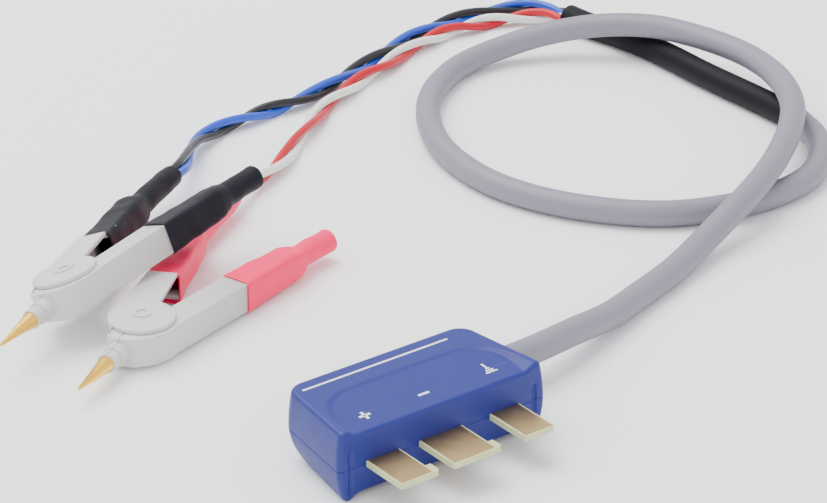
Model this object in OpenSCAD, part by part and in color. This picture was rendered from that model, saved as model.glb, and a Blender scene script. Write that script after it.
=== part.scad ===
// Kelvin clip test lead for a bench component meter: a three-bladed plug
// housing, a screened cable, and two spring clips that each carry two wires.
// The housing stands on z = 0 with its blades towards -Y.
// The cable and both clips lie on the same surface.

/* [Plug housing] */
// Length of the housing at its parting line
body_l = 65.6; // [60:0.2:72]
// Height of the housing
body_h = 19.4; // [18:0.2:22]
// Height of the parting line between the two shells
part_z = 9.1; // [8.6:0.1:10]
// Front face, where the blades come out
front_y = -15.2; // [-17:0.1:-14.6]
// Rear face
rear_y = 14; // [13.6:0.1:16]
// How much each end draws in from front to rear
taper = 2.8; // [1:0.1:4]
// Radius of the rear corners in plan
rear_r = 5; // [3:0.5:7]
// Wall thickness of both shells
wall = 1.8; // [1.4:0.1:2.2]
// Depth of the finger scoops at the front edge
scoop_d = 1.5; // [0.8:0.1:1.8]

/* [Blades] */
// Thickness of the circuit board
board_t = 1.6; // [1.2:0.2:1.6]
// How far the blades stand out of the front face
blade_out = 14.4; // [10:0.2:16]
// Length of the polarising tab at the tip of a blade
tab_l = 3.9; // [2:0.1:5]
// How far that tab stands out sideways
tab_w = 1.6; // [0.8:0.1:2]
// Thickness of the gold-plated contact pads
pad_t = 0.1; // [0.05:0.05:0.2]

/* [Clips] */
// Length of the bare contact tips
tip_l = 15; // [12:0.5:18]
// Angle of each handle from the clip's long axis
spread = 12.6; // [10:0.2:14]
// Width of a handle
arm_w = 8.4; // [8:0.1:9]
// Radius of the round ears at the pivot
ear_r = 9.2; // [8:0.1:9.6]
// Wall thickness of the clip mouldings
clip_wall = 1.4; // [1:0.1:1.6]
// Radius of the pivot pin
pin_r = 1.5; // [1:0.1:1.8]
// Diameter of the collar at the end of each boot
collar_d = 6.4; // [6:0.1:7]

/* [Cable and wires] */
// Diameter of the grey cable
cable_d = 7.8; // [7:0.1:8]
// Diameter of the shrink sleeve over the end of the cable
sleeve_d = 8.4; // [8.2:0.1:9]
// Diameter of each of the four wires
wire_d = 2.6; // [2:0.1:2.8]

/* [Hidden] */

blue = [0.16, 0.22, 0.58];
gold = [0.85, 0.66, 0.28];
board_green = [0.66, 0.70, 0.48];
clip_grey = [0.80, 0.79, 0.78];
cable_grey = [0.55, 0.54, 0.58];
boot_black = [0.10, 0.10, 0.11];
boot_red = [0.90, 0.25, 0.38];
steel = [0.70, 0.71, 0.73];

// Housing inside
screw_xy = [27.4, -7];
screw_r = 1;
screw_head_r = 1.9;
boss_r = 2.5;
cable_y = 6;
jacket_end_x = 20;
tie_x = 20.8;
board_half_l = 24.5;
board_rear_y = 0.6;
board_z = part_z - board_t / 2;
// Each blade's left edge, right edge, and whether it has a tab
blades = [[-24.5, -14.2, true], [-8.1, 5.5, true], [14.5, 24.1, false]];
blade_tip_y = front_y - blade_out;

// Clip heights, from the surface that the clip lies on
ear_t = 1.2;
clip_h = 11;
body_z0 = 1.3;
body_z1 = 9.7;
axis_z = (body_z0 + body_z1) / 2;
nose_x = -20.5;
seam = 0.1;
front_arm_y = -6.7;
rear_arm_y = 0.9;
handle_l = 52;
// Each boot's start and shoulder along its handle, and the length past that
red_front_boot_s = [30.6, 56];
red_front_collar_l = 16.5;
black_front_boot_s = [28.2, 53.6];
black_front_collar_l = 16;
rear_boot_s = [25.6, 57];
black_rear_collar_l = 25;
red_rear_collar_l = 30;
rear_bend = -8;
boot_wall = 0.5;
pin_fit = 0.05;

// Where each clip lies: its pivot's foot, then its roll, pitch and yaw
red_place = [-26.6, 83.8, 0];
red_turn = [0, 0, 29.3];
black_place = [-34.1, 104.6, 7.2];
black_turn = [-19.5, -1.5, 27];

// Centre line of the grey cable, from inside the housing to its sleeve
cable_route = [[20, 6, 9.1], [34, 6, 9.1], [47, 6.5, 9], [63, 10, 7.6],
    [80, 15, 5], [97, 21, 4], [115, 27, 4], [131, 33, 5.5],
    [147, 38, 8.8], [163, 44, 11.5], [180, 54, 12.2], [196, 66, 12.5],
    [208, 78, 12.7], [217, 92, 12.5], [223, 107, 11.8], [225, 122, 11.5],
    [222, 138, 11.9], [215, 152, 12.5], [204, 165, 11.3],
    [190, 175, 8.6], [176, 180, 5.8], [160, 180, 4.2], [146, 174, 4],
    [133, 164, 4], [122, 150, 4], [114, 134, 4], [110, 117, 4],
    [110, 100, 4], [115, 83, 4], [125, 67, 4], [138, 55, 4],
    [155, 48, 4], [172, 46, 4], [188, 49, 4], [201, 57.5, 4],
    [210, 69, 4], [214.5, 82, 4.2]];
// Shrink sleeve, from the end of the grey jacket to where the wires part
sleeve_route = [[214.5, 82, 4.3], [215, 97, 4.3], [215, 112, 4.3],
    [215.2, 127, 4.3], [216, 142, 4.3], [216, 156, 4.3],
    [214.5, 170, 4.3], [212.5, 181, 4.3], [212, 190, 4.3]];
// Centre line of the twisted pair that ends in the black clip
black_pair_route = [[213.4, 190, 4.3], [214.5, 197, 3.4], [213, 204, 2.8],
    [207, 210, 2.7], [196, 213.5, 2.7], [184, 214.5, 2.7],
    [172, 213.5, 2.7], [160, 210.5, 2.7], [147, 206, 2.7],
    [135, 201.5, 2.7], [124, 197.5, 2.7], [111, 193, 2.7],
    [98, 190.5, 2.7], [84, 190, 2.7], [70, 188, 2.8], [58.5, 183.5, 3.5],
    [50, 175.5, 4.9], [43, 167, 6.9], [36.5, 160, 8.7], [28, 154.5, 9.4]];
// Centre line of the twisted pair that ends in the red clip
red_pair_route = [[210.6, 190, 4.3], [209.5, 196, 3.4], [205, 201, 2.8],
    [197, 204.5, 2.7], [186, 207, 2.7], [174, 207.5, 2.7],
    [162.5, 205.5, 2.7], [150, 201.5, 2.7], [137.5, 196.3, 2.7],
    [126, 192, 2.7], [115, 187, 2.7], [104.5, 181.5, 2.7],
    [94, 174, 2.7], [84, 166.5, 2.7], [75, 159.5, 2.7],
    [65.5, 153, 2.9], [56, 148, 3.8], [48.5, 144.4, 5],
    [38.2, 138, 5.5]];

function unit(v) = v / norm(v);

// Direction of a route at point i
function heading(route, i) =
    unit(route[min(i + 1, len(route) - 1)] - route[max(i - 1, 0)]);

// One ring of a tube, square to the route
function ring(route, i, r, sides) =
    let (t = heading(route, i),
        side = unit(cross(t, [0, 0, 1])),
        up = cross(side, t))
    [for (k = [0 : sides - 1])
        route[i] + r * (side * cos(360 * k / sides) + up * sin(360 * k / sides))];

// A closed tube through the points of a route
module tube(route, d, sides) {
    n = len(route);
    rings = [for (i = [0 : n - 1]) each ring(route, i, d / 2, sides)];
    walls = [for (i = [0 : n - 2], k = [0 : sides - 1])
        let (a = i * sides + k, b = i * sides + (k + 1) % sides)
        each [[a, a + sides, b + sides], [a, b + sides, b]]];
    start = [for (k = [0 : sides - 1]) k];
    finish = [for (k = [0 : sides - 1]) n * sides - 1 - k];
    polyhedron(rings, concat(walls, [start, finish]), convexity = 8);
}

// ---- Plug housing ----

// Outline of the housing from above, drawn in by an inset
function plan_points(inset) =
    let (front_x = body_l / 2 - inset,
        back_x = front_x - taper,
        r = rear_r - inset / 2,
        y0 = front_y + inset,
        y1 = rear_y - inset)
    concat([[-front_x, y0], [front_x, y0]],
        [for (a = [0 : 15 : 90])
            [back_x - r + r * cos(a), y1 - r + r * sin(a)]],
        [for (a = [90 : 15 : 180])
            [-back_x + r + r * cos(a), y1 - r + r * sin(a)]]);

// Outline of the housing from its end, in Y and Z: a hull-like lower rear
function side_points(inset) =
    let (belly_y = 3, belly_z = 10.5)
    concat([[front_y + inset, inset], [front_y + inset, part_z],
            [front_y + 0.5 + inset, body_h - inset],
            [rear_y - inset, body_h - inset]],
        [for (a = [0 : -10 : -90])
            [belly_y + (rear_y - belly_y - inset) * cos(a),
                belly_z + (belly_z - inset) * sin(a)]]);

// Half length of the housing at height z: the ends are barrel-shaped
function half_length(z) =
    let (up = (z - part_z) / (body_h - part_z),
        down = (part_z - z) / part_z)
    body_l / 2 - (z > part_z ? 1.2 * up * up : 2 * down * down);

// Outline of the housing from the front, in X and Z
function end_points(inset) =
    let (zs = [for (k = [0 : 8]) inset + (body_h - 2 * inset) * k / 8])
    concat([for (z = zs) [half_length(z) - inset, z]],
        [for (k = [8 : -1 : 0]) [inset - half_length(zs[k]), zs[k]]]);

module housing_block(inset) {
    reach = 100;
    intersection() {
        linear_extrude(body_h) polygon(plan_points(inset));
        rotate([90, 0, 90]) translate([0, 0, -reach / 2])
            linear_extrude(reach) polygon(side_points(inset));
        rotate([90, 0, 0]) translate([0, 0, -reach / 2])
            linear_extrude(reach) polygon(end_points(inset));
    }
}

// Outline of the shallow finger scoop, open at the front edge
scoop_x = 28;
scoop_top_y = 19;
scoop_base_y = 13;
function scoop_points(depth, r) =
    concat([[-scoop_x - 1, -4], [scoop_x + 1, -4]],
        [for (a = [0 : 10 : 90])
            [scoop_x - r + r * cos(a), depth - r + r * sin(a)]],
        [for (a = [90 : 10 : 180])
            [-scoop_x + r + r * cos(a), depth - r + r * sin(a)]]);

// The scoop in the top or in the underside, moved inward by an inset
module scoop(top, inset) {
    depth = top ? scoop_top_y : scoop_base_y;
    tilt = atan((scoop_d - 0.3) / depth);
    translate([0, front_y, top ? body_h - scoop_d - inset : scoop_d + inset])
        rotate([top ? tilt : -tilt, 0, 0])
        translate([0, 0, top ? 0 : -6])
        linear_extrude(6) polygon(scoop_points(depth, 12));
}

// Space inside the housing: the scoops keep their wall thickness
module cavity(top) difference() {
    housing_block(wall);
    scoop(top, wall);
}

module blade_slots() {
    gap = 0.1;
    for (b = blades)
        translate([b[0] - gap, front_y - 2, board_z])
            cube([b[1] - b[0] + 2 * gap, wall + 6, board_t]);
}

module cable_hole() {
    translate([jacket_end_x - 4, cable_y, part_z]) rotate([0, 90, 0])
        cylinder(r = cable_d / 2 + 0.05, h = 20, $fn = 48);
}

module boss(z0, z1) {
    for (side = [-1, 1])
        translate([side * screw_xy.x, screw_xy.y, z0])
            cylinder(r = boss_r, h = z1 - z0, $fn = 32);
}

module boss_hole(r, z0, z1) {
    for (side = [-1, 1])
        translate([side * screw_xy.x, screw_xy.y, z0])
            cylinder(r = r, h = z1 - z0, $fn = 32);
}

// Vertical key grooves in the front face, near its ends
module key_grooves() {
    for (side = [-1, 1])
        translate([side * (body_l / 2 - 3.6), front_y, 1])
            cylinder(r = 0.7, h = 13, $fn = 24);
}

module upper_shell() color(blue) difference() {
    union() {
        difference() {
            housing_block(0);
            cavity(true);
        }
        intersection() {
            housing_block(0.5);
            boss(part_z, body_h);
        }
    }
    translate([-50, -50, -1]) cube([100, 100, part_z + 1]);
    boss_hole(screw_r, part_z - 1, body_h - 4);
    scoop(true, 0);
    blade_slots();
    cable_hole();
    key_grooves();
}

module lower_shell() color(blue) difference() {
    union() {
        difference() {
            housing_block(0);
            cavity(false);
        }
        intersection() {
            housing_block(0.5);
            boss(0, part_z);
        }
    }
    translate([-50, -50, part_z]) cube([100, 100, body_h]);
    boss_hole(screw_r + 0.1, -1, body_h);
    boss_hole(screw_head_r + 0.1, -1, 2.4);
    scoop(false, 0);
    blade_slots();
    cable_hole();
    key_grooves();
}

module shell_screws() color(steel)
    for (side = [-1, 1])
        translate([side * screw_xy.x, screw_xy.y, 0]) difference() {
            union() {
                translate([0, 0, 0.9]) cylinder(r = screw_head_r, h = 1.5, $fn = 32);
                translate([0, 0, 2.4]) cylinder(r = screw_r, h = 11, $fn = 32);
            }
            translate([-0.25, -1.3, 0.4]) cube([0.5, 2.6, 1]);
            translate([-1.3, -0.25, 0.4]) cube([2.6, 0.5, 1]);
        }

module blade_outline(b) {
    r = 0.8;
    x1 = b[2] ? b[1] + tab_w : b[1];
    polygon(concat([[b[0], front_y + wall + 1], [b[0], blade_tip_y + r]],
        [for (a = [180 : 15 : 270]) [b[0] + r + r * cos(a), blade_tip_y + r + r * sin(a)]],
        [for (a = [270 : 15 : 360]) [x1 - r + r * cos(a), blade_tip_y + r + r * sin(a)]],
        [[x1, blade_tip_y + tab_l], [b[1], blade_tip_y + tab_l],
            [b[1], front_y + wall + 1]]));
}

module circuit_board() color(board_green)
    translate([0, 0, board_z]) linear_extrude(board_t) union() {
        for (b = blades) blade_outline(b);
        polygon([[-board_half_l, front_y + wall + 0.2], [board_half_l, front_y + wall + 0.2],
            [board_half_l, board_rear_y], [-board_half_l, board_rear_y]]);
    }

// Gold contact pads on one face of the three blades
module pads(z) {
    margin = 0.5;
    for (b = blades)
        translate([b[0] + margin, blade_tip_y + margin, z])
            cube([b[1] - b[0] - 2 * margin, blade_out - margin - 0.1, pad_t]);
}

module top_pads() color(gold) pads(board_z + board_t);

module bottom_pads() color(gold) pads(board_z - pad_t);

// Tie that holds the jacket inside the housing
module cable_tie() color([0.85, 0.85, 0.82])
    translate([tie_x, cable_y, part_z]) rotate([0, 90, 0]) difference() {
        union() {
            cylinder(r = cable_d / 2 + 1.1, h = 2.4, $fn = 48);
            translate([-cable_d / 2 - 3.2, -2, 0]) cube([3.2, 4, 3]);
        }
        translate([0, 0, -1]) cylinder(r = cable_d / 2 + 0.05, h = 6, $fn = 48);
    }

// Wire ends inside the housing, from the jacket to the board
inner_r = wire_d / 2 - 0.05;
module inner_blue_wire() color([0.16, 0.36, 0.85])
    tube([[19.8, 7.35, 7.75], [14, 7.3, 7.75], [4, 7, 7.75], [-8, 6.4, 8.2],
        [-16, 4.4, 10.4], [-20, 0, 11.7], [-21, -6, 11.3]], 2 * inner_r, 8);

module inner_black_wire() color([0.08, 0.08, 0.09])
    tube([[19.8, 4.65, 7.75], [14, 4.6, 7.75], [6, 4.6, 7.75], [-1, 4, 9.2],
        [-5.5, 2, 11.6], [-8, -2, 11.7], [-8.5, -6, 11.3]], 2 * inner_r, 8);

module inner_red_wire() color([0.85, 0.12, 0.16])
    tube([[19.8, 7.35, 10.45], [16, 7.3, 10.7], [11, 6.2, 11.6], [7, 3, 12],
        [5, -1, 11.7], [4.5, -6, 11.3]], 2 * inner_r, 8);

module inner_white_wire() color([0.92, 0.92, 0.90])
    tube([[19.8, 4.65, 10.45], [17.6, 4.5, 10.6], [15.6, 2.6, 11.4],
        [15.2, -1.5, 11.7], [15.5, -6, 11.3]], 2 * inner_r, 8);

// ---- Cable, sleeve and wires ----

module grey_cable() color(cable_grey) tube(cable_route, cable_d, 12);

module split_sleeve() color(boot_black) tube(sleeve_route, sleeve_d, 12);

module black_clip_wires() color([0.16, 0.36, 0.85]) tube(black_pair_route, 2 * wire_d, 8);

module red_clip_wires() color([0.85, 0.12, 0.16]) tube(red_pair_route, 2 * wire_d, 8);

// ---- Clips: tips towards -X, pivot pin upright at the origin ----

// A point on a handle: s along it from the pivot, t across it
function on_arm(y0, turn, s, t) =
    [s * cos(turn) - t * sin(turn), y0 + s * sin(turn) + t * cos(turn)];

// Plan outline of a nose and its handle, for the half on the -Y side
function front_outline(inset) =
    let (w = arm_w / 2 - inset, tail = handle_l - inset,
        back = front_arm_y)
    [[nose_x + 7, -seam], [-12.6, -4.4 + inset], [-9.4 + inset, -8 + inset],
        [-4.6, -10.4 + inset], on_arm(back, -spread, 1, -w),
        on_arm(back, -spread, tail, -w), on_arm(back, -spread, tail, w),
        on_arm(back, -spread, 4, w), [0, -seam]];

// Round nose collar that holds one contact tip
module nose_collar(side) {
    r1 = 3.1;
    r2 = 2.7;
    intersection() {
        union() {
            translate([nose_x, 0, axis_z]) rotate([0, 90, 0])
                cylinder(r = r2, h = 3.6, $fn = 32);
            translate([nose_x + 3.6, 0, axis_z]) rotate([0, 90, 0])
                cylinder(r = r1, h = 6.4, $fn = 32);
        }
        translate([nose_x, side > 0 ? seam : -10 - seam, 0]) cube([20, 10, clip_h]);
    }
}

// Space for a contact tip's shank inside its collar
module shank_hole() {
    translate([nose_x - 1, 0, axis_z]) rotate([0, 90, 0])
        cylinder(r = 1.3, h = 7, $fn = 32);
}

module front_half() color(clip_grey) difference() {
    union() {
        translate([0, 0, body_z0]) linear_extrude(body_z1 - body_z0)
            polygon(front_outline(0));
        translate([0, 0, body_z0]) cylinder(r = 5, h = body_z1 - body_z0, $fn = 48);
        nose_collar(-1);
    }
    // Inside of the channel, open towards the other handle
    translate([0, 0, body_z0 + clip_wall])
        linear_extrude(body_z1 - body_z0 - 2 * clip_wall)
        polygon([[-8, 6], [-8, -6.4], [-4, -8.8],
            on_arm(front_arm_y, -spread, 1, clip_wall - arm_w / 2),
            on_arm(front_arm_y, -spread, handle_l + 1, clip_wall - arm_w / 2),
            on_arm(front_arm_y, -spread, handle_l + 1, arm_w),
            on_arm(front_arm_y, -spread, 8, arm_w), [5, 6]]);
    translate([0, 0, -1]) cylinder(r = pin_r + pin_fit, h = clip_h + 2, $fn = 48);
    shank_hole();
}

// Plan outline of the rear half's ears and of its handle stub
function rear_outline(tail) =
    [[-6.6, 6.2], [-12.6, 3.9], [nose_x + 7, seam], [-5.2, seam], [7, -2.2],
        on_arm(rear_arm_y, spread, tail, -arm_w / 2),
        on_arm(rear_arm_y, spread, tail, arm_w / 2), [10, 8.3], [0, 7]];

module rear_half() color(clip_grey) difference() {
    union() {
        // Ears above and below the front half
        for (z = [0, clip_h - ear_t])
            translate([0, 0, z]) linear_extrude(ear_t) union() {
                translate([-1.2, -0.6]) circle(r = ear_r, $fn = 64);
                polygon([[-6.6, 6.6], [-1, -3.4],
                    on_arm(rear_arm_y, spread, rear_boot_s[0] - 0.6, -arm_w / 2),
                    on_arm(rear_arm_y, spread, rear_boot_s[0] - 0.6, arm_w / 2)]);
            }
        // Handle and nose between the ears
        difference() {
            translate([0, 0, body_z0]) linear_extrude(body_z1 - body_z0)
                polygon(rear_outline(handle_l));
            // Room for the front half to turn about the pin
            translate([0, 0, body_z0 - 1]) cylinder(r = 5.4, h = clip_h, $fn = 48);
            translate([0, 0, body_z0 - 1]) linear_extrude(clip_h)
                polygon([[0, 5.4], [-5.4, 0], [-5.4, -4], [9, -4],
                    on_arm(rear_arm_y, spread, rear_boot_s[0] + 1.5, -arm_w),
                    on_arm(rear_arm_y, spread, rear_boot_s[0] + 1.5, arm_w / 2 - clip_wall),
                    on_arm(rear_arm_y, spread, 6, arm_w / 2 - clip_wall)]);
            translate([0, 0, body_z0 + clip_wall])
                linear_extrude(body_z1 - body_z0 - 2 * clip_wall)
                polygon([on_arm(rear_arm_y, spread, 12, -arm_w),
                    on_arm(rear_arm_y, spread, handle_l + 1, -arm_w),
                    on_arm(rear_arm_y, spread, handle_l + 1, arm_w / 2 - clip_wall),
                    on_arm(rear_arm_y, spread, rear_boot_s[0] + 3, arm_w / 2 - clip_wall),
                    on_arm(rear_arm_y, spread, 12, 0)]);
        }
        // Web that joins both ears to the handle, a little inside its outline
        translate([0, 0, ear_t / 2]) linear_extrude(clip_h - ear_t)
            polygon([[-12.2, 3.4], [-6.6, 6.1], [0, 6.85],
                on_arm(rear_arm_y, spread, 24, arm_w / 2 - 0.1),
                on_arm(rear_arm_y, spread, 24, arm_w / 2 - clip_wall + 0.1),
                [0, 5.7], [-6, 5.1]]);
        nose_collar(1);
        // Raised rim round the pin's head
        translate([0, 0, clip_h]) cylinder(r = 2.8, h = 0.45, $fn = 48);
    }
    translate([0, 0, -1]) cylinder(r = pin_r, h = clip_h + 3, $fn = 48);
    shank_hole();
}

// Half of a needle-nosed contact tip, with its shank
module half_tip(side) color(gold) intersection() {
    union() {
        translate([nose_x, 0, axis_z]) rotate([0, -90, 0])
            cylinder(r1 = 2.3, r2 = 0.4, h = tip_l, $fn = 48);
        translate([nose_x, 0, axis_z]) rotate([0, 90, 0])
            cylinder(r = 1.3, h = 6, $fn = 32);
    }
    translate([nose_x - tip_l, side > 0 ? seam / 2 : -5 - seam / 2, 0])
        cube([tip_l + 6, 5, clip_h]);
}

module pivot_pin() color(steel)
    translate([0, 0, 0.2]) cylinder(r = pin_r, h = clip_h - 0.2, $fn = 48);

// Torsion spring round the pin: closed turns and two short legs
module spring() color(steel) {
    coil_r = 2.6;
    spring_wire_r = 0.4;
    turns = 5;
    union() {
        for (k = [0 : turns - 1])
            translate([0, 0, axis_z + (k - (turns - 1) / 2) * 0.78])
                rotate_extrude($fn = 48) translate([coil_r, 0])
                circle(r = spring_wire_r, $fn = 16);
        for (leg = [[spread - 4, 1], [-14, -1]])
            translate([0, leg[1] * coil_r, axis_z + leg[1] * 1.56])
                rotate([0, 90, leg[0]])
                cylinder(r = spring_wire_r, h = 13, $fn = 16);
    }
}

// Shrink boot over a handle: a body, then a narrow collar that may bend sideways
module boot(y0, turn, body_s, collar_l, bend) {
    w = arm_w / 2 + boot_wall;
    h = (body_z1 - body_z0) / 2 + boot_wall;
    r = 1.4;
    neck = 5;
    translate([0, y0, axis_z]) rotate([0, 90, turn]) difference() {
        union() {
            hull() for (a = [-1, 1], b = [-1, 1])
                translate([a * (h - r), b * (w - r), body_s[0]])
                    cylinder(r = r, h = body_s[1] - body_s[0], $fn = 24);
            hull() {
                for (a = [-1, 1], b = [-1, 1])
                    translate([a * (h - r), b * (w - r), body_s[1] - 0.2])
                        cylinder(r = r, h = 0.2, $fn = 24);
                translate([0, 0, body_s[1]]) rotate([-bend, 0, 0])
                    translate([0, 0, neck]) cylinder(d = collar_d, h = 0.5, $fn = 32);
            }
            translate([0, 0, body_s[1]]) rotate([-bend, 0, 0])
                translate([0, 0, neck]) cylinder(d = collar_d, h = collar_l - neck, $fn = 48);
        }
        translate([-(body_z1 - body_z0) / 2, -arm_w / 2, body_s[0] - 1])
            cube([body_z1 - body_z0, arm_w, handle_l - body_s[0] + 1]);
    }
}

module front_boot(body_s, collar_l)
    boot(front_arm_y, -spread, body_s, collar_l, 0);

module rear_boot(collar_l)
    boot(rear_arm_y, spread, rear_boot_s, collar_l, rear_bend);

module at_black() translate(black_place) rotate(black_turn) children();

module at_red() translate(red_place) rotate(red_turn) children();

module black_front_half() at_black() front_half();
module black_rear_half() at_black() rear_half();
module black_front_tip() at_black() half_tip(-1);
module black_rear_tip() at_black() half_tip(1);
module black_pivot_pin() at_black() pivot_pin();
module black_spring() at_black() spring();
module black_front_boot() color(boot_black) at_black()
    front_boot(black_front_boot_s, black_front_collar_l);
module black_rear_boot() color(boot_black) at_black() rear_boot(black_rear_collar_l);

module red_front_half() at_red() front_half();
module red_rear_half() at_red() rear_half();
module red_front_tip() at_red() half_tip(-1);
module red_rear_tip() at_red() half_tip(1);
module red_pivot_pin() at_red() pivot_pin();
module red_spring() at_red() spring();
module red_front_boot() color(boot_red) at_red()
    front_boot(red_front_boot_s, red_front_collar_l);
module red_rear_boot() color(boot_red) at_red() rear_boot(red_rear_collar_l);

upper_shell();
lower_shell();
circuit_board();
top_pads();
bottom_pads();
shell_screws();
cable_tie();
inner_blue_wire();
inner_black_wire();
inner_red_wire();
inner_white_wire();
grey_cable();
split_sleeve();
black_clip_wires();
red_clip_wires();
black_front_half();
black_rear_half();
black_front_tip();
black_rear_tip();
black_pivot_pin();
black_spring();
black_front_boot();
black_rear_boot();
red_front_half();
red_rear_half();
red_front_tip();
red_rear_tip();
red_pivot_pin();
red_spring();
red_front_boot();
red_rear_boot();
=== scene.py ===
import math

import bmesh
import bpy
from mathutils import Euler, Matrix, Vector, noise


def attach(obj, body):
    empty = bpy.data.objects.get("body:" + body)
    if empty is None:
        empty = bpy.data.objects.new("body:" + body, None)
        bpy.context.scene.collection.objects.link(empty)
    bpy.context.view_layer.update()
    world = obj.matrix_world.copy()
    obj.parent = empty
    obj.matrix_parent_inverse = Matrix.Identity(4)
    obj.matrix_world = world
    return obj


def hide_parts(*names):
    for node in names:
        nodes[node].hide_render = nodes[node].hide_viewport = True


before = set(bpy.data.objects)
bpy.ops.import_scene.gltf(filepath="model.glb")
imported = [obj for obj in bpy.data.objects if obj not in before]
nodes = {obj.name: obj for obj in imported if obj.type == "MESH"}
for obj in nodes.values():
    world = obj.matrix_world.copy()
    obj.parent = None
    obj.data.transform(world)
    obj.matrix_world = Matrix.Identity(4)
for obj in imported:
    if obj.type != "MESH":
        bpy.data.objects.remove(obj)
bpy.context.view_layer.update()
mm = 0.001
print("frame loaded:", len(nodes), "nodes")

view = {
    "place": (-0.4222, -0.5571, 0.3999),
    "target": (0.06785, 0.0869, 0),
    "lens": 136.31,
    "sensor": 36,
}
cameraData = bpy.data.cameras.new("viewCamera")
cameraData.lens = view["lens"]
cameraData.sensor_width = view["sensor"]
cameraData.sensor_fit = "HORIZONTAL"
cameraData.clip_end = 20
camera = bpy.data.objects.new("viewCamera", cameraData)
camera.location = view["place"]
camera.rotation_euler = (Vector(view["target"]) - Vector(view["place"])).to_track_quat("-Z", "Y").to_euler()
bpy.context.collection.objects.link(camera)
bpy.context.scene.camera = camera

studio = {
    "floorSize": 8,
    "floorColour": (0.97, 0.97, 0.97, 1),
    "worldColour": (0.93, 0.95, 1, 1),
    "worldStrength": 1.45,
    "lights": {  # place, size and power of each
        "overhead": ((-0.15, 0.75, 1.5), 1.4, 40),
        "front": ((-0.5, -1.3, 0.9), 1.2, 5),
    },
    "aim": (0.06, 0.09, 0),
}


def areaLight(name, place, size, power):
    data = bpy.data.lights.new(name, "AREA")
    data.shape = "SQUARE"
    data.size = size
    data.energy = power
    light = bpy.data.objects.new(name, data)
    light.location = place
    light.rotation_euler = (Vector(studio["aim"]) - Vector(place)).to_track_quat("-Z", "Y").to_euler()
    bpy.context.collection.objects.link(light)


for lightName, (place, size, power) in studio["lights"].items():
    areaLight(lightName, place, size, power)
world = bpy.data.worlds.new("studioWorld")
world.use_nodes = True
world.node_tree.nodes["Background"].inputs["Color"].default_value = studio["worldColour"]
world.node_tree.nodes["Background"].inputs["Strength"].default_value = studio["worldStrength"]
bpy.context.scene.world = world
print("camera and light placed")


def colour(r, g, b):  # screen colour 0 to 255, to the linear colour that a shader takes
    linear = [c / 255 / 12.92 if c < 10.31 else ((c / 255 + 0.055) / 1.055) ** 2.4 for c in (r, g, b)]
    return (*linear, 1)


def mouldedGroup():  # slow tone change, fine grain and a roughness that follows it
    group = bpy.data.node_groups.new("mouldedSurface", "ShaderNodeTree")
    for name, kind in (("Colour", "NodeSocketColor"), ("Tone Spread", "NodeSocketFloat"),
                       ("Tone Scale", "NodeSocketFloat"), ("Grain Scale", "NodeSocketFloat"),
                       ("Roughness", "NodeSocketFloat"), ("Roughness Spread", "NodeSocketFloat")):
        group.interface.new_socket(name=name, in_out="INPUT", socket_type=kind)
    for name, kind in (("Colour", "NodeSocketColor"), ("Roughness", "NodeSocketFloat"),
                       ("Height", "NodeSocketFloat")):
        group.interface.new_socket(name=name, in_out="OUTPUT", socket_type=kind)
    make, link = group.nodes.new, group.links.new
    given, result = make("NodeGroupInput"), make("NodeGroupOutput")
    where = make("ShaderNodeTexCoord")
    slow, fine = make("ShaderNodeTexNoise"), make("ShaderNodeTexNoise")
    slow.inputs["Detail"].default_value = 3
    fine.inputs["Detail"].default_value = 4
    for tex, scale in ((slow, "Tone Scale"), (fine, "Grain Scale")):
        link(where.outputs["Object"], tex.inputs["Vector"])
        link(given.outputs[scale], tex.inputs["Scale"])
    centred = make("ShaderNodeMath")
    centred.operation = "SUBTRACT"
    centred.inputs[1].default_value = 0.5
    link(slow.outputs["Fac"], centred.inputs[0])
    tone = make("ShaderNodeMath")
    tone.operation = "MULTIPLY_ADD"
    tone.inputs[2].default_value = 1
    link(centred.outputs[0], tone.inputs[0])
    link(given.outputs["Tone Spread"], tone.inputs[1])
    shade = make("ShaderNodeVectorMath")
    shade.operation = "SCALE"
    link(given.outputs["Colour"], shade.inputs[0])
    link(tone.outputs[0], shade.inputs["Scale"])
    link(shade.outputs[0], result.inputs["Colour"])
    rough = make("ShaderNodeMath")
    rough.operation = "MULTIPLY_ADD"
    link(centred.outputs[0], rough.inputs[0])
    link(given.outputs["Roughness Spread"], rough.inputs[1])
    link(given.outputs["Roughness"], rough.inputs[2])
    link(rough.outputs[0], result.inputs["Roughness"])
    link(fine.outputs["Fac"], result.inputs["Height"])
    return group


def wearGroup():  # pale scuffs: thin broken streaks from a stretched noise
    group = bpy.data.node_groups.new("fineScuffs", "ShaderNodeTree")
    group.interface.new_socket(name="Amount", in_out="INPUT", socket_type="NodeSocketFloat")
    group.interface.new_socket(name="Mask", in_out="OUTPUT", socket_type="NodeSocketFloat")
    make, link = group.nodes.new, group.links.new
    given, result = make("NodeGroupInput"), make("NodeGroupOutput")
    where, turn, tex, ramp = (make("ShaderNodeTexCoord"), make("ShaderNodeMapping"),
                              make("ShaderNodeTexNoise"), make("ShaderNodeMapRange"))
    turn.inputs["Scale"].default_value = (90, 900, 400)
    turn.inputs["Rotation"].default_value = (0.3, 0.2, 0.6)
    tex.inputs["Scale"].default_value = 1
    tex.inputs["Detail"].default_value = 2
    ramp.inputs["From Min"].default_value = 0.66
    ramp.inputs["From Max"].default_value = 0.82
    amount = make("ShaderNodeMath")
    amount.operation = "MULTIPLY"
    link(where.outputs["Object"], turn.inputs["Vector"])
    link(turn.outputs["Vector"], tex.inputs["Vector"])
    link(tex.outputs["Fac"], ramp.inputs["Value"])
    link(ramp.outputs["Result"], amount.inputs[0])
    link(given.outputs["Amount"], amount.inputs[1])
    link(amount.outputs[0], result.inputs["Mask"])
    return group


moulded = mouldedGroup()
scuffs = wearGroup()


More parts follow.
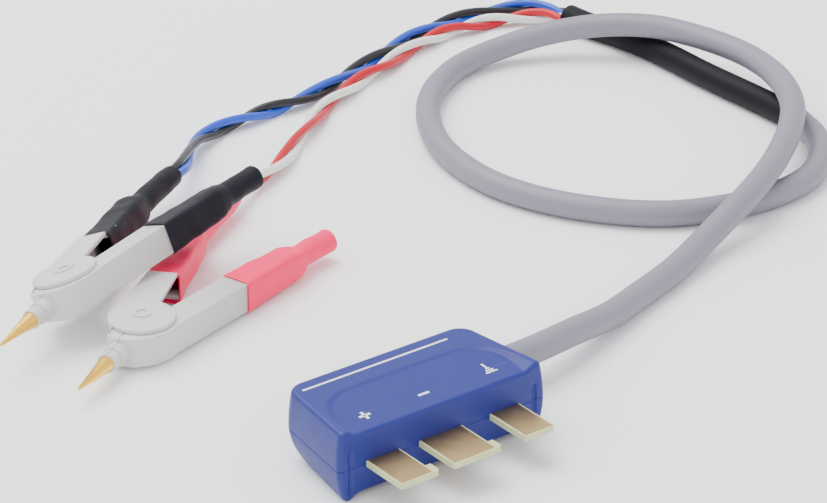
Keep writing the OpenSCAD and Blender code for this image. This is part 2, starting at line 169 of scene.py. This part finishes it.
def finish(name, base, roughness, tone=0.12, toneScale=60, grain=2500, bump=0.2,
           metallic=0, scuff=0.0, scuffColour=None, roughSpread=0.12, specular=0.5):
    material = bpy.data.materials.new(name)
    material.use_nodes = True
    tree = material.node_tree
    make, link = tree.nodes.new, tree.links.new
    shader = tree.nodes["Principled BSDF"]
    shader.inputs["Metallic"].default_value = metallic
    shader.inputs["Specular IOR Level"].default_value = specular
    surface = make("ShaderNodeGroup")
    surface.node_tree = moulded
    surface.inputs["Colour"].default_value = base
    surface.inputs["Tone Spread"].default_value = tone
    surface.inputs["Tone Scale"].default_value = toneScale
    surface.inputs["Grain Scale"].default_value = grain
    surface.inputs["Roughness"].default_value = roughness
    surface.inputs["Roughness Spread"].default_value = roughSpread
    tinted = surface.outputs["Colour"]
    if scuff:
        worn = make("ShaderNodeGroup")
        worn.node_tree = scuffs
        worn.inputs["Amount"].default_value = scuff
        blend = make("ShaderNodeMix")
        blend.data_type = "RGBA"
        link(worn.outputs["Mask"], blend.inputs["Factor"])
        link(tinted, blend.inputs["A"])
        blend.inputs["B"].default_value = scuffColour
        tinted = blend.outputs["Result"]
    link(tinted, shader.inputs["Base Color"])
    link(surface.outputs["Roughness"], shader.inputs["Roughness"])
    grainBump = make("ShaderNodeBump")
    grainBump.inputs["Strength"].default_value = bump
    grainBump.inputs["Distance"].default_value = 0.1 * mm
    link(surface.outputs["Height"], grainBump.inputs["Height"])
    link(grainBump.outputs["Normal"], shader.inputs["Normal"])
    return material


finishes = {
    "blueShell": finish("blueShell", colour(32, 40, 118), 0.42, tone=0.1, grain=4200, bump=0.25,
                        scuff=0.12, scuffColour=colour(120, 130, 185), specular=0.3),
    "laminate": finish("laminate", colour(196, 200, 150), 0.5, tone=0.25, toneScale=300, grain=3000),
    "goldPlate": finish("goldPlate", colour(255, 204, 84), 0.22, tone=0.18, toneScale=120,
                        grain=1500, metallic=1, scuff=0.3, scuffColour=colour(150, 110, 60)),
    "padGold": finish("padGold", colour(196, 168, 116), 0.34, tone=0.14, toneScale=160,
                      grain=2200, metallic=1, scuff=0.2, scuffColour=colour(170, 140, 92)),
    "steel": finish("steel", colour(190, 190, 194), 0.28, metallic=1, grain=2500, scuff=0.2,
                    scuffColour=colour(120, 120, 125)),
    "nylon": finish("nylon", colour(222, 221, 212), 0.45),
    "greyJacket": finish("greyJacket", colour(126, 123, 134), 0.5, tone=0.1, toneScale=35,
                         grain=2200, bump=0.5, scuff=0.1, scuffColour=colour(170, 168, 176)),
    "blackSleeve": finish("blackSleeve", colour(12, 12, 17), 0.55, tone=0.25, toneScale=80, specular=0.16,
                          grain=1600, bump=0.6, scuff=0.15, scuffColour=colour(70, 70, 80)),
    "blackBoot": finish("blackBoot", colour(18, 18, 26), 0.55, tone=0.3, toneScale=90, specular=0.18,
                        grain=1500, bump=0.7, scuff=0.2, scuffColour=colour(76, 74, 84)),
    "redBoot": finish("redBoot", colour(255, 26, 92), 0.45, tone=0.12, toneScale=90, specular=0.2,
                      grain=1500, bump=0.5, scuff=0.12, scuffColour=colour(250, 130, 150)),
    "clipPlastic": finish("clipPlastic", colour(206, 204, 200), 0.46, tone=0.08, toneScale=70,
                          grain=2600, bump=0.3, scuff=0.15, scuffColour=colour(170, 168, 164)),
    "blueWire": finish("blueWire", colour(22, 70, 190), 0.34, tone=0.12, grain=1800),
    "blackWire": finish("blackWire", colour(16, 16, 20), 0.36, tone=0.2, grain=1800),
    "redWire": finish("redWire", colour(190, 8, 34), 0.36, specular=0.35, tone=0.12, grain=1800),
    "whiteWire": finish("whiteWire", colour(226, 226, 219), 0.38, tone=0.06, grain=1800),
    "whiteInk": finish("whiteInk", colour(232, 234, 240), 0.5, tone=0.08, toneScale=900),
    "paleFloor": finish("paleFloor", studio["floorColour"], 0.7, tone=0.01, toneScale=2, grain=200,
                        bump=0.02, specular=0.2),
}

floorMesh = bmesh.new()
bmesh.ops.create_grid(floorMesh, x_segments=1, y_segments=1, size=studio["floorSize"] / 2)
floorData = bpy.data.meshes.new("floor")
floorMesh.to_mesh(floorData)
floorMesh.free()
floor = bpy.data.objects.new("floor", floorData)
bpy.context.collection.objects.link(floor)
floorData.materials.append(finishes["paleFloor"])
print("materials made:", len(finishes))

keptNodes = {  # CAD nodes that stay as they are, each with its material
    "circuit_board": "laminate", "top_pads": "padGold", "bottom_pads": "padGold",
    "shell_screws": "steel", "cable_tie": "nylon",
    "inner_blue_wire": "blueWire", "inner_black_wire": "blackWire",
    "inner_red_wire": "redWire", "inner_white_wire": "whiteWire",
}
for clip in ("black", "red"):
    keptNodes[clip + "_pivot_pin"] = "clipPlastic"
    keptNodes[clip + "_spring"] = "steel"
    keptNodes[clip + "_front_tip"] = "goldPlate"
    keptNodes[clip + "_rear_tip"] = "goldPlate"
for nodeName, finishName in keptNodes.items():
    slots = nodes[nodeName].material_slots
    if not slots:
        nodes[nodeName].data.materials.append(finishes[finishName])
    for slot in nodes[nodeName].material_slots:
        slot.material = finishes[finishName]


def finishPiece(name, bm, finishName, body, replaced):
    mesh = bpy.data.meshes.new(name)
    bm.to_mesh(mesh)
    bm.free()
    piece = bpy.data.objects.new(name, mesh)
    bpy.context.collection.objects.link(piece)
    mesh.materials.append(finishes[finishName])
    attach(piece, body)
    if replaced:
        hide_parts(replaced)
    return piece


def smoothByAngle(bm, degrees):
    for face in bm.faces:
        face.smooth = True
    for edge in bm.edges:
        edge.smooth = len(edge.link_faces) == 2 and edge.calc_face_angle(0) < math.radians(degrees)


def softenedCopy(name, radius, shortest):  # the node's own solid, merged and with its outside edges rounded
    bm = bmesh.new()
    bm.from_mesh(nodes[name].data)
    bmesh.ops.remove_doubles(bm, verts=bm.verts, dist=0.005 * mm)
    bmesh.ops.dissolve_limit(bm, angle_limit=math.radians(0.6), verts=bm.verts, edges=bm.edges)
    edges = [e for e in bm.edges if len(e.link_faces) == 2 and e.is_convex
             and e.calc_face_angle(0) > math.radians(32) and e.calc_length() > shortest]
    bmesh.ops.bevel(bm, geom=edges, offset=radius, offset_type="OFFSET", affect="EDGES",
                    segments=3, profile=0.5, clamp_overlap=True, material=-1)
    bmesh.ops.remove_doubles(bm, verts=bm.verts, dist=0.002 * mm)
    smoothByAngle(bm, 34)
    return bm


housing = {
    "halfX": 32.8, "taper": 2.8, "frontY": -15.2, "lean": 0.5, "rearY": 14, "height": 19.4,
    "partZ": 9.1, "rearR": 5, "frontR": 1.3, "wall": 1.8, "edgeR": 1.0, "seam": 0.14,
    "bellyY": 3, "bellyZ": 10.5, "topDraw": 1.2, "baseDraw": 2,
    "scoopX": 28, "scoopR": 12, "scoopDepth": 1.5, "scoopEdge": 0.3, "topScoop": 19, "baseScoop": 13,
    "softEdge": 1.6, "softEnd": 2.6, "softFrom": 4, "softRun": 10, "grooveX": 29.2, "grooveR": 0.75,
    "grooveDepth": 0.55, "grooveZ": (1, 14), "grooveFade": 0.6, "grooveReach": 1.2,
    "seamClear": 2, "faceClear": 1, "spine": 17, "topMiddleY": -0.6, "baseMiddleY": -6.2,
    "wallRings": 6, "sideRings": 14, "edgeRings": 6, "capRings": 44, "lip": 0.02,
    "points": (260, 14, 26, 18, 44, 18, 26, 14),  # of the outline: front, corner, end, corner and so on
}


def smoothStep(t):
    t = min(1, max(0, t))
    return t * t * (3 - 2 * t)


def halfLength(z):
    h = housing
    if z > h["partZ"]:
        return h["halfX"] - h["topDraw"] * ((z - h["partZ"]) / (h["height"] - h["partZ"])) ** 2
    return h["halfX"] - h["baseDraw"] * ((h["partZ"] - z) / h["partZ"]) ** 2


def planPoint(turn, z, inset):  # one point of the housing's outline at height z, from 0 to 1 round it
    h = housing
    half = halfLength(z) - inset
    back = half - h["taper"]
    y0 = h["frontY"] + inset + h["lean"] * max(0, (z - h["partZ"]) / (h["height"] - h["partZ"]))
    y1 = h["rearY"] - inset
    if z < h["bellyZ"]:
        drop = min(1, (h["bellyZ"] - z) / (h["bellyZ"] - inset))
        y1 = h["bellyY"] + (y1 - h["bellyY"]) * math.sqrt(1 - drop * drop)
    front, rear = max(0.2, h["frontR"] - inset / 2), h["rearR"] - inset / 2
    counts = h["points"]
    place = turn * sum(counts)
    part = 0
    while part < 7 and place >= counts[part]:
        place -= counts[part]
        part += 1
    t = place / counts[part]

    def arc(x, y, r, first):
        a = math.radians(first + 90 * t)
        return Vector((x + r * math.cos(a), y + r * math.sin(a)))

    if part == 0:
        return Vector((-half + front + (2 * half - 2 * front) * t, y0))
    if part == 1:
        return arc(half - front, y0 + front, front, -90)
    if part == 2:
        return Vector((half, y0 + front)).lerp(Vector((back, y1 - rear)), t)
    if part == 3:
        return arc(back - rear, y1 - rear, rear, 0)
    if part == 4:
        return Vector((back - rear - (2 * back - 2 * rear) * t, y1))
    if part == 5:
        return arc(-back + rear, y1 - rear, rear, 90)
    if part == 6:
        return Vector((-back, y1 - rear)).lerp(Vector((-half, y0 + front)), t)
    return arc(-half + front, y0 + front, front, 180)


def scoopAt(x, y, reach):  # depth of the finger scoop: full at the front edge, fading at its curved rim
    h = housing
    qx, qy = abs(x) - (h["scoopX"] - h["scoopR"]), y - (h["frontY"] + reach - h["scoopR"])
    outside = math.hypot(max(qx, 0), max(qy, 0)) - h["scoopR"] + min(max(qx, qy), 0)
    soft = h["softEdge"] + h["softEnd"] * smoothStep((-y - h["softFrom"]) / h["softRun"])
    depth = h["scoopDepth"] - (h["scoopDepth"] - h["scoopEdge"]) * (y - h["frontY"]) / reach
    return max(0, depth) * smoothStep(0.5 - outside / soft)


def topHeight(x, y):
    return housing["height"] - scoopAt(x, y, housing["topScoop"])


def shellPoint(flat, z, isTop):  # moves a point of the plain block into the scoops and the key grooves
    h = housing
    x, y = flat
    ends = h["seamClear"] + h["faceClear"]
    place = Vector((x, y, z))
    if isTop:
        up = smoothStep((z - h["partZ"] - h["seamClear"]) / (h["height"] - h["partZ"] - ends))
        place.z -= up * scoopAt(x, y, h["topScoop"])
    else:
        down = smoothStep((h["partZ"] - h["seamClear"] - z) / (h["partZ"] - ends))
        place.z += down * scoopAt(x, y, h["baseScoop"])
    near = (abs(x) - h["grooveX"]) / h["grooveR"]
    if abs(near) < 1 and y < h["frontY"] + h["grooveReach"]:
        low, high = h["grooveZ"]
        fade = smoothStep((z - low) / h["grooveFade"]) * smoothStep((high - z) / h["grooveFade"])
        place.y += h["grooveDepth"] * math.sqrt(1 - near * near) * fade
    return place


def shellRings(isTop):  # under the face, down the inner wall, over the rim, up the outside, across the face
    h = housing
    seamZ = h["partZ"]
    far = h["height"] if isTop else 0
    sign = 1 if isTop else -1

    def faceRing(z, inset, inward):
        return lambda turn: capPoint(turn, z, inset, inward, isTop)

    def wallRing(z, inset):
        return lambda turn: shellPoint(planPoint(turn, z, inset), z, isTop)

    inner = far - sign * h["wall"]
    rings = [faceRing(inner, h["wall"], inward) for inward in (0.9, 0.5)]
    rings += [wallRing(seamZ + (inner - seamZ) * k / h["wallRings"], h["wall"])
              for k in range(h["wallRings"], -1, -1)]
    rings += [wallRing(seamZ, h["seam"]), wallRing(seamZ + sign * (h["seam"] + h["lip"]), 0)]
    reach = abs(far - seamZ) - h["edgeR"]
    rings += [wallRing(seamZ + sign * reach * k / h["sideRings"], 0)
              for k in range(1, h["sideRings"] + 1)]
    for k in range(1, h["edgeRings"] + 1):
        a = math.radians(90 * k / h["edgeRings"])
        rings.append(wallRing(far - sign * h["edgeR"] * (1 - math.sin(a)), h["edgeR"] * (1 - math.cos(a))))
    rings += [faceRing(far, h["edgeR"], k / h["capRings"]) for k in range(1, h["capRings"])]
    return rings


def capPoint(turn, z, inset, inward, isTop):  # a point of the face, drawn in to its long middle line
    flat = planPoint(turn, z, inset)
    middleY = housing["topMiddleY"] if isTop else housing["baseMiddleY"]
    spine = Vector((max(-housing["spine"], min(housing["spine"], flat.x)), middleY))
    return shellPoint(flat.lerp(spine, inward), z, isTop)


def loft(bm, placers, sides):  # extrudes one ring of edges from placer to placer and closes both ends
    made = bmesh.ops.create_circle(bm, cap_ends=False, segments=sides, radius=1)
    ring = {v: (math.atan2(v.co.y, v.co.x) / math.tau) % 1 for v in made["verts"]}
    edges = list({e for v in ring for e in v.link_edges})
    for vert, turn in ring.items():
        vert.co = placers[0](turn)
    bmesh.ops.contextual_create(bm, geom=edges)
    for placer in placers[1:]:
        turns = {v.co.copy().freeze(): t for v, t in ring.items()}
        grown = bmesh.ops.extrude_edge_only(bm, edges=edges)["geom"]
        ring = {v: turns[v.co.copy().freeze()] for v in grown if isinstance(v, bmesh.types.BMVert)}
        edges = [e for e in grown if isinstance(e, bmesh.types.BMEdge)
                 and all(v in ring for v in e.verts)]
        for vert, turn in ring.items():
            vert.co = placer(turn)
    bmesh.ops.contextual_create(bm, geom=edges)
    bmesh.ops.recalc_face_normals(bm, faces=bm.faces)


for nodeName, isTop in (("upper_shell", True), ("lower_shell", False)):
    bm = bmesh.new()
    loft(bm, shellRings(isTop), sum(housing["points"]))
    bmesh.ops.scale(bm, vec=(mm, mm, mm), verts=bm.verts)
    smoothByAngle(bm, 40)
    finishPiece(nodeName.replace("_s", "S"), bm, "blueShell", "lead", nodeName)

marks = {
    "ink": 0.04, "sunk": 0.08,
    "bars": [  # centre, then size along and across the housing
        (-20, -8.5, 3.4, 0.8), (-20, -8.5, 0.8, 3.4),
        (-1.5, -8.5, 3.4, 0.8),
        (19.5, -9.6, 3.6, 0.55), (19.5, -8.7, 2.4, 0.55), (19.5, -7.8, 1.2, 0.55), (19.5, -6.4, 0.55, 2.2),
        (-3, 9.6, 46, 0.7),
    ],
}
bm = bmesh.new()
for x, y, wide, deep in marks["bars"]:
    bar = bmesh.ops.create_cube(bm, size=1)["verts"]
    bmesh.ops.scale(bm, vec=(wide, deep, 1), verts=bar)
    bmesh.ops.translate(bm, vec=(x, y, 0), verts=bar)
    for vert in bar:
        lift = marks["ink"] if vert.co.z > 0 else -marks["sunk"]
        vert.co.z = topHeight(vert.co.x, vert.co.y) + lift
bmesh.ops.scale(bm, vec=(mm, mm, mm), verts=bm.verts)
finishPiece("topMarks", bm, "whiteInk", "lead", None)

clips = {
    "edge": 0.3 * mm, "shortest": 0.5 * mm,
    "axisZ": 5.5, "armHalf": 4.2, "spread": 12.6, "frontArmY": -6.7, "rearArmY": 0.9,
    "bootWall": 0.5, "collarR": 3.55, "neck": 5, "sides": 64, "ring": 1.1,
    "mouth": 16, "handleCut": 7,
    "foldScale": 0.15, "foldHeight": 0.45, "creaseScale": 0.45, "creaseHeight": 0.1,
    "shrunk": 0.06, "fadeFrom": 1, "fadeRun": 9,
    # each clip's arms: where the boot starts, its shoulder, its collar's length and its bend
    "black": {"place": (-34.1, 104.6, 7.2), "turn": (-19.5, -1.5, 27),
              "front": (28.2, 53.6, 16, 0), "rear": (25.6, 57, 25, 8), "seed": 3},
    "red": {"place": (-26.6, 83.8, 0), "turn": (0, 0, 29.3),
            "front": (30.6, 56, 16.5, 0), "rear": (25.6, 57, 30, 8), "seed": 11},
}


def clipPlace(clip):
    spec = clips[clip]
    turn = Euler([math.radians(a) for a in spec["turn"]], "XYZ").to_matrix().to_4x4()
    return Matrix.Translation(Vector(spec["place"]) * mm) @ turn @ Matrix.Scale(mm, 4)


def between(table, s):  # smooth value at s from (s, value...) rows
    for low, high in zip(table, table[1:]):
        if s <= high[0]:
            t = (s - low[0]) / (high[0] - low[0])
            t = t * t * (3 - 2 * t)
            return [a + (b - a) * t for a, b in zip(low[1:], high[1:])]
    return list(table[-1][1:])


def bootRing(section):  # a squared-off oval about the handle's own line
    centre, across, up, halfW, halfH, power = section

    def placer(turn):
        c, s = math.cos(math.tau * turn), math.sin(math.tau * turn)
        x = math.copysign(abs(c) ** (2 / power), c) * halfW
        z = math.copysign(abs(s) ** (2 / power), s) * halfH
        return centre + across * x + up * z
    return placer


def bootSections(armY, turn, start, shoulder, collar, bend):
    half = clips["armHalf"] + clips["bootWall"]
    thin = clips["collarR"]
    end = shoulder + collar
    shape = [  # along the handle: half width, half height, squareness
        (start, half - 0.12, half - 0.1, 9), (start + 0.4, half + 0.06, half + 0.06, 9),
        (start + 3, half, half, 9), (start + 10, half - 0.05, half - 0.1, 6),
        (shoulder - 8, half - 0.05, half - 0.1, 4.6), (shoulder - 2.5, half, half - 0.1, 4),
        (shoulder - 0.3, half - 0.35, half - 0.4, 3.2),
        (shoulder + 0.7 * clips["neck"], thin, thin, 2.1), (end - 1, thin, thin, 2),
        (end - 0.3, thin - 0.05, thin - 0.05, 2), (end, thin - 0.35, thin - 0.35, 2),
    ]
    tilt = math.radians(turn)
    bow = math.radians(bend)
    stops = []
    s = start
    while s < end - 0.01:
        stops.append(s)
        s += clips["ring"] if start + 1.5 < s < end - 2 else 0.25
    stops.append(end)
    rows = [(s, *between(shape, s)) for s in stops]
    # the mouth of the boot and the mouth of its collar both go back inside
    first, last = rows[0], rows[-1]
    rows = ([(start + clips["mouth"], first[1] - 0.5, first[2] - 0.5, 9),
             (start + 0.1, first[1] - 0.3, first[2] - 0.3, 9)]
            + rows + [(end - 0.2, last[1] - 0.4, last[2] - 0.4, 2),
                      (end - 4, last[1] - 0.55, last[2] - 0.55, 2)])
    sections = []
    for s, halfW, halfH, power in rows:
        past = max(0, s - shoulder)
        heading = tilt - bow * min(1, past / 2)
        along = min(s, shoulder) + past * math.cos(bow)
        off = -past * math.sin(bow)
        centre = Vector((along * math.cos(tilt) - off * math.sin(tilt),
                         armY + along * math.sin(tilt) + off * math.cos(tilt), clips["axisZ"]))
        across = Vector((-math.sin(heading), math.cos(heading), 0))
        sections.append((centre, across, Vector((0, 0, 1)), halfW, halfH, power))
    return sections


def makeBoot(clip, arm, body):
    start, shoulder, collar, bend = clips[clip][arm]
    armY = clips["frontArmY"] if arm == "front" else clips["rearArmY"]
    turn = -clips["spread"] if arm == "front" else clips["spread"]
    bm = bmesh.new()
    loft(bm, [bootRing(s) for s in bootSections(armY, turn, start, shoulder, collar, bend)],
         clips["sides"])
    seed = clips[clip]["seed"] + (50 if arm == "rear" else 0)
    mouthX = start * math.cos(math.radians(turn))
    bm.normal_update()
    for vert in bm.verts:
        fade = smoothStep((vert.co.x - mouthX - clips["fadeFrom"]) / clips["fadeRun"])
        wave = noise.noise(vert.co * clips["foldScale"] + Vector((seed, 0, 0))) * clips["foldHeight"]
        wave += noise.noise(vert.co * clips["creaseScale"] + Vector((0, seed, 0))) * clips["creaseHeight"]
        vert.co += vert.normal * (wave - clips["shrunk"]) * fade
    bmesh.ops.transform(bm, matrix=clipPlace(clip), verts=bm.verts)
    smoothByAngle(bm, 50)
    finishPiece(clip + arm.capitalize() + "Boot", bm, clip + "Boot", body,
                clip + "_" + arm + "_boot")


def trimHandle(bm, clip, arm):  # the handle ends a little way inside its boot
    start = clips[clip][arm][0] + clips["handleCut"]
    turn = math.radians(-clips["spread"] if arm == "front" else clips["spread"])
    armY = clips["frontArmY"] if arm == "front" else clips["rearArmY"]
    place = clipPlace(clip)
    along = Vector((math.cos(turn), math.sin(turn), 0))
    point = place @ (Vector((0, armY, clips["axisZ"])) + along * start)
    normal = (place.to_3x3() @ along).normalized()
    cutGeometry = bmesh.ops.bisect_plane(bm, geom=bm.verts[:] + bm.edges[:] + bm.faces[:],
                                         plane_co=point, plane_no=normal, clear_outer=True)
    edges = [e for e in cutGeometry["geom_cut"] if isinstance(e, bmesh.types.BMEdge)]
    bmesh.ops.edgenet_fill(bm, edges=edges)


for clip in ("black", "red"):
    for arm, body in (("front", clip + "_jaw"), ("rear", "lead")):
        nodeName = clip + "_" + arm + "_half"
        bm = softenedCopy(nodeName, clips["edge"], clips["shortest"])
        trimHandle(bm, clip, arm)
        finishPiece(clip + arm.capitalize() + "Half", bm, "clipPlastic", body, nodeName)
        makeBoot(clip, arm, body)
print("housing and clips made")

cable = {
    "route": [(20, 6, 9.1), (34, 6, 9.1), (47, 6.5, 9), (63, 10, 7.6), (80, 15, 5), (97, 21, 4),
              (115, 27, 4), (131, 33, 5.5), (147, 38, 8.8), (163, 44, 11.5), (180, 54, 12.2),
              (196, 66, 12.5), (208, 78, 12.7), (217, 92, 12.5), (223, 107, 11.8), (225, 122, 11.5),
              (222, 138, 11.9), (215, 152, 12.5), (204, 165, 11.3), (190, 175, 8.6), (176, 180, 5.8),
              (160, 180, 4.2), (146, 174, 4), (133, 164, 4), (122, 150, 4), (114, 134, 4),
              (110, 117, 4), (110, 100, 4), (115, 83, 4), (125, 67, 4), (138, 55, 4), (155, 48, 4),
              (172, 46, 4), (188, 49, 4), (201, 57.5, 4), (210, 69, 4), (214.5, 82, 4.2)],
    "diameter": 7.8, "length": 0.603, "exit": (0.034, 0.006, 0.0091),
}
sleeve = {
    "route": [(214.5, 82, 4.3), (215, 97, 4.3), (215, 112, 4.3), (215.2, 127, 4.3), (216, 142, 4.3),
              (216, 156, 4.3), (214.5, 170, 4.3), (212.5, 181, 4.3), (212, 190, 4.3)],
    "diameter": 8.4, "length": 0.108, "exit": (0.2145, 0.082, 0.0043),
}
pairs = {
    "diameter": 2.6, "apart": 1.31,
    "nearSide": 146,  # degrees round the pair to the wire in front at a crossing
    "black": {
        "route": [(213.4, 190, 4.3), (214.5, 197, 3.4), (213, 204, 2.8), (207, 210, 2.7),
                  (196, 213.5, 2.7), (184, 214.5, 2.7), (172, 213.5, 2.7), (160, 210.5, 2.7),
                  (147, 206, 2.7), (135, 201.5, 2.7), (124, 197.5, 2.7), (111, 193, 2.7),
                  (98, 190.5, 2.7), (84, 190, 2.7), (70, 188, 2.8), (58.5, 183.5, 3.5),
                  (50, 175.5, 4.9), (43, 167, 6.9), (36.5, 160, 8.7), (28, 154.5, 9.4)],
        "wires": ("blue", "black"), "length": 0.22, "exit": (0.2134, 0.19, 0.0043),
        "crossings": (10, 36, 59, 84, 110, 136, 155, 180, 225),  # along the pair
    },
    "red": {
        "route": [(210.6, 190, 4.3), (209.5, 196, 3.4), (205, 201, 2.8), (197, 204.5, 2.7),
                  (186, 207, 2.7), (174, 207.5, 2.7), (162.5, 205.5, 2.7), (150, 201.5, 2.7),
                  (137.5, 196.3, 2.7), (126, 192, 2.7), (115, 187, 2.7), (104.5, 181.5, 2.7),
                  (94, 174, 2.7), (84, 166.5, 2.7), (75, 159.5, 2.7), (65.5, 153, 2.9),
                  (56, 148, 3.8), (48.5, 144.4, 5), (38.2, 138, 5.5)],
        "wires": ("white", "red"), "length": 0.2, "exit": (0.2106, 0.19, 0.0043),
        "crossings": (22, 39, 57, 83.5, 108, 133, 168, 207),  # along the pair
    },
}


def smoothRoute(points, steps=10):  # a smooth curve through every point
    pts = [Vector(p) for p in points]
    pts = [2 * pts[0] - pts[1]] + pts + [2 * pts[-1] - pts[-2]]
    out = []
    for a, b, c, d in zip(pts, pts[1:], pts[2:], pts[3:]):
        for k in range(steps):
            t = k / steps
            out.append(0.5 * (2 * b + (c - a) * t + (2 * a - 5 * b + 4 * c - d) * t * t
                              + (3 * b - a - 3 * c + d) * t ** 3))
    out.append(pts[-2])
    return out


def layCord(name, points, diameter, finishName, replaced):
    curve = bpy.data.curves.new(name, "CURVE")
    curve.dimensions = "3D"
    curve.bevel_depth = diameter / 2 * mm
    curve.bevel_resolution = 7
    curve.use_fill_caps = True
    spline = curve.splines.new("POLY")
    spline.points.add(len(points) - 1)
    for point, place in zip(spline.points, points):
        point.co = (*(place * mm), 1)
    spline.use_smooth = True
    piece = bpy.data.objects.new(name, curve)
    bpy.context.collection.objects.link(piece)
    curve.materials.append(finishes[finishName])
    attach(piece, "lead")
    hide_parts(replaced)
    return piece


def crossingsPassed(run, crossings):  # how often the wires have changed places, with the part since
    k = 0
    while k < len(crossings) - 2 and run > crossings[k + 1]:
        k += 1
    return k + (run - crossings[k]) / (crossings[k + 1] - crossings[k])


def twistedWire(points, side, crossings):  # one wire of a pair: a slow helix about the pair's centre line
    out, run = [], 0
    for i, point in enumerate(points):
        ahead = points[min(i + 1, len(points) - 1)] - points[max(i - 1, 0)]
        ahead.normalize()
        across = ahead.cross(Vector((0, 0, 1))).normalized()
        up = across.cross(ahead)
        if i:
            run += (point - points[i - 1]).length
        angle = math.radians(pairs["nearSide"]) - math.pi * crossingsPassed(run, crossings)
        out.append(point + side * pairs["apart"] * (across * math.cos(angle) + up * math.sin(angle)))
    return out


jacket = layCord("greyCable", smoothRoute(cable["route"]), cable["diameter"], "greyJacket",
                 "grey_cable")
shrink = layCord("splitSleeve", smoothRoute(sleeve["route"]), sleeve["diameter"], "blackSleeve",
                 "split_sleeve")
for clip in ("black", "red"):
    pair = pairs[clip]
    middle = smoothRoute(pair["route"], 12)
    for side, wireColour in zip((1, -1), pair["wires"]):
        wire = layCord(clip + "Clip" + wireColour.capitalize() + "Wire",
                       twistedWire(middle, side, pair["crossings"]), pairs["diameter"],
                       wireColour + "Wire", clip + "_clip_wires")
print("cable and wires laid")
